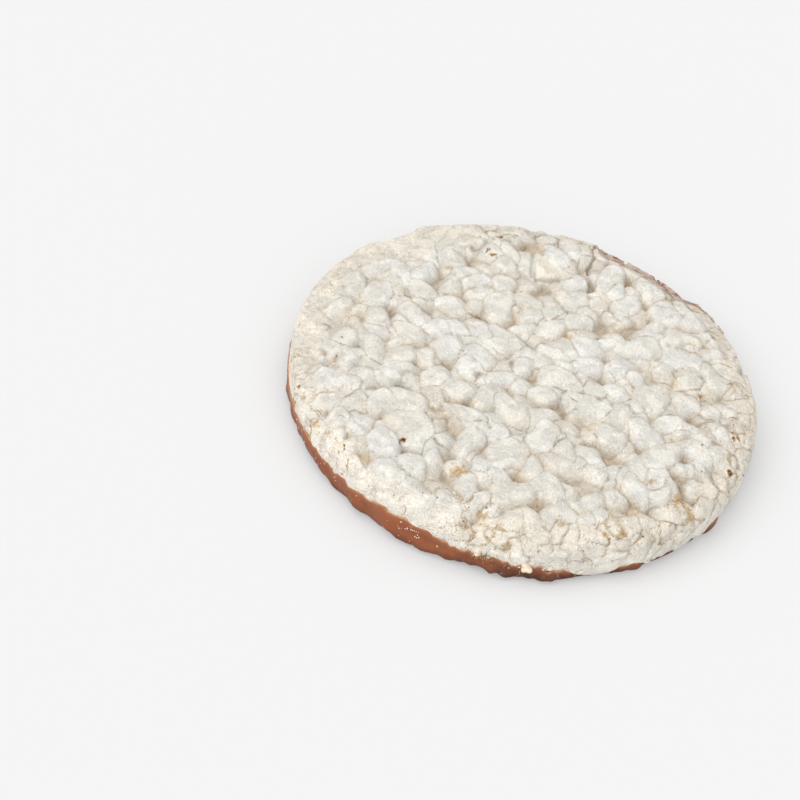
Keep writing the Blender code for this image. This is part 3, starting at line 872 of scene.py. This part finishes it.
coat_vertices, coat_faces, coat_measures = coat_surface()
milk_chocolate = chocolate_material("milk chocolate", 0.78)
chocolate_layer = mesh_piece("chocolate_layer", coat_vertices, coat_faces, milk_chocolate, coat_measures)
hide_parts("chocolate_coat")
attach(chocolate_layer, "root")


# Chocolate smears: thin films that ran or were wiped over the rim of the rice at the back.
# They have gone pale with bloom.

film_cell = 0.00028


def film(start, stop, inner, outer, patchy, seed):
    """A closed film over the mould's edge between two azimuths and two distances along it.

    It is 0.3 mm proud of the mould, and sinks below it towards its sides and where noise is low.
    """
    columns = int(np.radians(stop - start) * cake_radius / film_cell)
    rows = max(8, int((outer - inner) / film_cell))
    across, down = np.meshgrid(np.linspace(0.0, 1.0, columns), np.linspace(0.0, 1.0, rows), indexing="ij")
    azimuth = np.radians(start + (stop - start) * across)
    along = inner + (outer - inner) * down
    place, out = (grid.reshape(-1, 3) for grid in mould_face(azimuth, along))
    across, down = across.ravel(), down.ravel()
    body = ramp(across, 0.0, 0.20) * (1.0 - ramp(across, 0.80, 1.0))
    body *= ramp(down, 0.0, 0.35) * (1.0 - ramp(down, 0.80, 1.0))
    rough = ripple(place, 0.0026, seed) + 0.6 * ripple(place, 0.0011, seed + 1)
    cover = ramp(body + patchy * rough * ramp(body, 0.0, 0.3), 0.15, 0.60)
    grain = 0.00005 * ripple(place, 0.0009, seed + 2)
    top = place + out * (0.00105 * cover - 0.00075 + grain * cover)[:, None]
    bottom = place - out * 0.0010

    count = columns * rows
    index = np.arange(count).reshape(columns, rows)
    quads = np.stack([index[:-1, :-1], index[:-1, 1:], index[1:, 1:], index[1:, :-1]], axis=-1).reshape(-1, 4)
    loop = np.concatenate([index[:-1, 0], index[-1, :-1], index[:0:-1, -1], index[0, :0:-1]])
    sides = np.stack([loop, np.roll(loop, -1), np.roll(loop, -1) + count, loop + count], axis=-1)
    return np.concatenate([top, bottom]), np.vstack([quads, quads[:, ::-1] + count, sides])


def joined(parts):
    """Several meshes, each an array of vertices and one of faces, as one."""
    vertices, faces, count = [], [], 0
    for points, quads in parts:
        vertices.append(points)
        faces += (quads + count).tolist()
        count += len(points)
    return np.concatenate(vertices), faces


# Each film: first and last azimuth, its reach over the ring and down the wall, patchiness, seed.
films = ((50.0, 83.0, -0.0018, 0.0024, 0.34, 81), (35.0, 57.0, -0.0005, 0.0024, 0.30, 84))
smear_vertices, smear_faces = joined([film(*measures) for measures in films])
chocolate_smears = mesh_piece("chocolate_smears", smear_vertices, smear_faces,
                              chocolate_material("bloomed chocolate", 0.38))
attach(chocolate_smears, "root")


# Husk flecks: shreds of husk and specks of bran stuck to the rice. They lie thickest over
# the ring and in the creases. A few fibres curl out between the rice and the lip.

shred_stations = 6
fleck_count = 720
speck_count = 60
long_fibres = 9
short_fibres = 14

# Places with many flecks: x, y, reach and how much denser they lie there.
fleck_clusters = (
    (-0.0320, -0.0200, 0.0050, 7.0), (-0.0070, -0.0330, 0.0045, 9.0), (0.0360, 0.0020, 0.0060, 6.0),
    (0.0300, -0.0280, 0.0070, 5.0), (-0.0010, -0.0410, 0.0070, 6.0), (-0.0400, 0.0060, 0.0080, 3.0),
    (-0.0130, 0.0300, 0.0050, 5.0), (0.0390, -0.0120, 0.0040, 6.0), (-0.0340, -0.0280, 0.0060, 4.0),
    (0.0330, -0.0245, 0.0025, 8.0), (0.0215, -0.0360, 0.0030, 8.0), (0.0364, 0.0146, 0.0030, 5.0),
)


def vertex_normals(piece):
    """Unit normals of a piece's vertices, one row each."""
    normals = np.empty(3 * len(piece.data.vertices))
    piece.data.vertex_normals.foreach_get("vector", normals)
    return normals.reshape(-1, 3)


def shreds(places, normals, length, width, curl, rng):
    """Thin closed shreds, all at once: a flat four-cornered section carried along an arc.

    A shred tapers towards both ends. Its middle sinks a little into its place, and its ends
    lift away from it by the curl and swing aside by up to a quarter of its length.
    """
    spin = rng.uniform(0.0, 2.0 * np.pi, len(places))[:, None]
    helper = np.where(np.abs(normals[:, 2:]) < 0.9, (0.0, 0.0, 1.0), (1.0, 0.0, 0.0))
    side = np.cross(helper, normals)
    side /= np.linalg.norm(side, axis=1)[:, None]
    along = np.cos(spin) * side + np.sin(spin) * np.cross(normals, side)
    across = np.cross(normals, along)
    station = np.linspace(-0.5, 0.5, shred_stations)
    bow = 4.0 * station ** 2
    swing = length * rng.uniform(-0.25, 0.25, len(places))
    line = (places[:, None] + along[:, None] * np.outer(length, station)[..., None]
            + across[:, None] * np.outer(swing, bow)[..., None]
            + normals[:, None] * np.outer(curl, bow)[..., None])
    taper = 0.15 + 0.85 * np.sqrt(1.0 - bow)
    half_width = 0.5 * np.outer(width, taper)[..., None]
    half_thick = 0.00003 + 0.12 * half_width
    corners = np.stack([line + across[:, None] * half_width, line + normals[:, None] * half_thick,
                        line - across[:, None] * half_width, line - normals[:, None] * half_thick], axis=2)
    index = np.arange(corners.shape[0] * shred_stations * 4).reshape(-1, shred_stations, 4)
    after = np.roll(index, -1, axis=2)
    quads = np.stack([index[:, :-1], after[:, :-1], after[:, 1:], index[:, 1:]], axis=-1).reshape(-1, 4)
    ends = np.concatenate([index[:, 0, ::-1], index[:, -1]])
    return corners.reshape(-1, 3), np.concatenate([quads, ends])


def husk_material():
    """Husk and bran: from pale straw through gold to dark red-brown, dull."""
    material, tree, shader = new_material("husk")
    tone = attributes(tree, "tone")[0]
    place = node(tree, "ShaderNodeTexCoord").outputs["Object"]
    straw = (0.56, 0.43, 0.25, 1.0)
    gold = (0.43, 0.275, 0.115, 1.0)
    bran = (0.13, 0.048, 0.022, 1.0)
    base = painted(straw, gold, tone.between(0.15, 0.55))
    base = painted(base, bran, tone.between(0.62, 0.92))
    base = painted(base, straw, noise(place, 3000.0, 2.0).between(0.35, 0.65) * 0.25)
    connect(shader, {"Base Color": base, "Roughness": 0.6})
    return material


def husk_shreds(rng):
    """Flecks and specks on the rice, and fibres that stand out from the front of the lip."""
    shown = rice_vertices[:, 2] > 0.0040
    inset = cake_radius - np.hypot(rice_vertices[:, 0], rice_vertices[:, 1])
    liking = shown * (0.06 + rice_measures["crease"]) * (1.0 + 4.0 * (inset < 0.0055))
    for x, y, reach, gain in fleck_clusters:
        away = np.hypot(rice_vertices[:, 0] - x, rice_vertices[:, 1] - y)
        liking = liking * (1.0 + gain * np.exp(-(away / reach) ** 2))
    chosen = rng.choice(len(rice_vertices), fleck_count, p=liking / liking.sum())
    normals = vertex_normals(puffed_rice_body)[chosen]
    places = rice_vertices[chosen]
    length = 0.0004 + 0.0015 * rng.random(fleck_count) ** 2
    width = rng.uniform(0.00011, 0.00026, fleck_count)
    tone = 0.75 * rng.random(fleck_count)
    length[:speck_count] = rng.uniform(0.0003, 0.0006, speck_count)
    width[:speck_count] = rng.uniform(0.00025, 0.00042, speck_count)
    tone[:speck_count] = rng.uniform(0.7, 1.0, speck_count)
    curl = length * rng.uniform(-0.10, 0.12, fleck_count)

    turn = np.append(rng.uniform(268.0, 294.0, long_fibres), rng.normal(271.3, 0.8, short_fibres))
    turn = np.radians(turn)
    level = lip_height(turn) + rng.uniform(-0.0008, 0.0004, len(turn))
    fibres = polar(rice_radius(turn) - 0.0001, turn, level)
    outward = polar(1.0, turn, 0.0)
    long = np.append(rng.uniform(0.0016, 0.0032, long_fibres), rng.uniform(0.0008, 0.0018, short_fibres))
    thin = np.repeat((0.00012, 0.00028), (long_fibres, short_fibres))
    vertices, faces = shreds(np.vstack([places, fibres]), np.vstack([normals, outward]),
                             np.append(length, long), np.append(width, thin),
                             np.append(curl, rng.uniform(0.0003, 0.0009, len(turn))), rng)
    vertices[:, 2] = np.minimum(vertices[:, 2], cake_height + 0.0002)
    tones = np.concatenate([tone, rng.uniform(0.0, 0.4, long_fibres), rng.uniform(0.3, 0.85, short_fibres)])
    return vertices, faces.tolist(), {"tone": np.repeat(tones, shred_stations * 4)}


fleck_vertices, fleck_faces, fleck_measures = husk_shreds(np.random.default_rng(grain_seed + 7))
husk_flecks = mesh_piece("husk_flecks", fleck_vertices, fleck_faces, husk_material(), fleck_measures)
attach(husk_flecks, "root")


# Rice crumbs: broken bits of puffed rice caught in the chocolate while it was soft. The
# largest stand out of the lip at the front, and dust-sized ones sparkle on its face.

clustered_dust = 26
strewn_dust = 34

# Bits that show in the lip: azimuth in degrees, height, and half their length.
lip_bits = (
    (281.0, 0.0032, 0.00140), (293.5, 0.0024, 0.00100), (269.5, 0.0046, 0.00080), (286.5, 0.0034, 0.00065),
    (298.0, 0.0022, 0.00100), (326.0, 0.0023, 0.00070),
)


def crumbs(centres, halves, detail, lumpy, rng):
    """Lumpy bits, all at once: a turned and stretched sphere whose radius wanders by noise."""
    bm = bmesh.new()
    bmesh.ops.create_icosphere(bm, subdivisions=detail, radius=1.0)
    ball = np.array([vertex.co for vertex in bm.verts])
    sides = np.array([[vertex.index for vertex in face.verts] for face in bm.faces])
    bm.free()
    axes = np.linalg.qr(rng.normal(size=(len(centres), 3, 3)))[0]
    axes *= np.linalg.det(axes)[:, None, None]
    bulge = 1.0 + lumpy * np.stack([ripple(ball, 1.3, seed) for seed in rng.integers(0, 9999, len(centres))])
    points = np.einsum("cij,cvj->cvi", axes, ball * (bulge[..., None] * halves[:, None]))
    points += centres[:, None]
    offsets = len(ball) * np.arange(len(centres))[:, None, None]
    return points.reshape(-1, 3), (sides + offsets).reshape(-1, 3)


def crumb_material():
    """Broken puffed rice: creamy and matt, with warmer spots."""
    material, tree, shader = new_material("rice crumb")
    place = node(tree, "ShaderNodeTexCoord").outputs["Object"]
    white = (0.70, 0.62, 0.50, 1.0)
    warm = (0.58, 0.41, 0.25, 1.0)
    base = painted(white, warm, noise(place, 900.0, 3.0, 0.6).between(0.48, 0.68) * 0.7)
    connect(shader, {"Base Color": base, "Roughness": 0.65,
                     "Normal": relief(noise(place, 2600.0, 2.0), 0.7, 0.0002)})
    return material


def crumb_places(rng):
    """Centres on the lip's outer face: a cluster at the front left, others strewn around."""
    turn = np.append(rng.normal(253.5, 1.6, clustered_dust), rng.uniform(206.0, 296.0, strewn_dust))
    height = np.append(rng.normal(0.0042, 0.0006, clustered_dust), rng.uniform(0.0012, 0.0040, strewn_dust))
    spots = polar(cake_radius, np.radians(turn), height)
    nearest = [np.argmin(np.linalg.norm(coat_vertices - spot, axis=1)) for spot in spots]
    return coat_vertices[nearest]


crumb_rng = np.random.default_rng(grain_seed + 9)
dust_centres = crumb_places(crumb_rng)
dust_size = 0.00008 + 0.00014 * crumb_rng.random(len(dust_centres)) ** 2
dust_halves = dust_size[:, None] * crumb_rng.uniform(0.6, 1.2, (len(dust_centres), 3))
dust = crumbs(dust_centres, dust_halves, 1, 0.17, crumb_rng)
bit_turn, bit_height, bit_half = np.array(lip_bits).T
bit_turn = np.radians(bit_turn)
bit_radius = np.minimum(coat_radius(bit_turn), rice_radius(bit_turn)) - 0.15 * bit_half
bit_centres = polar(bit_radius, bit_turn, bit_height)
bits = crumbs(bit_centres, bit_half[:, None] * (1.0, 0.75, 0.62), 3, 0.10, crumb_rng)
crumb_vertices, crumb_faces = joined([dust, bits])
rice_crumbs = mesh_piece("rice_crumbs", crumb_vertices, crumb_faces, crumb_material())
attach(rice_crumbs, "root")


# Stage: a plain pale floor that glows faintly, as a light table does, soft light from the front
# left, and the camera, which looks down on the cake and is turned a little about its own axis.

floor_reach = 3.0
floor_grey = (0.435, 0.435, 0.435, 1.0)
white = (1.0, 1.0, 1.0, 1.0)
corners = floor_reach * np.array([(-1.0, -1.0, 0.0), (1.0, -1.0, 0.0), (1.0, 1.0, 0.0), (-1.0, 1.0, 0.0)])
floor_paint, _, floor_shader = new_material("floor")
connect(floor_shader, {"Base Color": floor_grey, "Roughness": 0.9, "Specular IOR Level": 0.0,
                       "Emission Color": white, "Emission Strength": 0.28})
floor = mesh_piece("floor", corners, [(0, 1, 2, 3)], floor_paint)


def add_sun(name, azimuth, elevation, strength, spread):
    """A soft sun shining from an azimuth and elevation, in degrees."""
    light = bpy.data.lights.new(name, "SUN")
    light.energy = strength
    light.angle = np.radians(spread)
    lamp = bpy.data.objects.new(name, light)
    bpy.context.scene.collection.objects.link(lamp)
    turn, rise = np.radians(azimuth), np.radians(elevation)
    source = Vector((np.cos(rise) * np.cos(turn), np.cos(rise) * np.sin(turn), np.sin(rise)))
    lamp.rotation_mode = "QUATERNION"
    lamp.rotation_quaternion = source.to_track_quat("Z", "Y")
    return lamp


add_sun("key", 208.0, 40.0, 1.20, 42.0)
add_sun("top", 130.0, 68.0, 0.70, 50.0)
add_sun("overhead", 0.0, 90.0, 0.70, 110.0)
add_sun("front", 284.0, 14.0, 1.35, 80.0)

world = bpy.data.worlds.new("soft studio")
bpy.context.scene.world = world
world.use_nodes = True
connect(world.node_tree.nodes["Background"], {"Color": white, "Strength": 0.66})
bpy.context.scene.view_settings.view_transform = "Standard"

camera = bpy.data.cameras.new("camera")
camera.lens = 85.0
camera.sensor_width = 36.0
camera.clip_start = 0.01
camera_rig = bpy.data.objects.new("camera", camera)
bpy.context.scene.collection.objects.link(camera_rig)
bpy.context.scene.camera = camera_rig
elevation = np.radians(42.6)
roll = np.radians(14.7)
distance = 0.362
focal = camera.lens / camera.sensor_width
aside, above = 0.1531, 0.0148
back = Vector((0.0, -np.cos(elevation), np.sin(elevation)))
camera_rig.location = Vector((0.0, 0.0, 0.0037)) + back * distance
swing = Vector((aside, above, -focal)).normalized().rotation_difference(Vector((0.0, 0.0, -1.0)))
camera_rig.rotation_mode = "QUATERNION"
camera_rig.rotation_quaternion = back.to_track_quat("Z", "Y") @ Quaternion((0.0, 0.0, 1.0), roll) @ swing
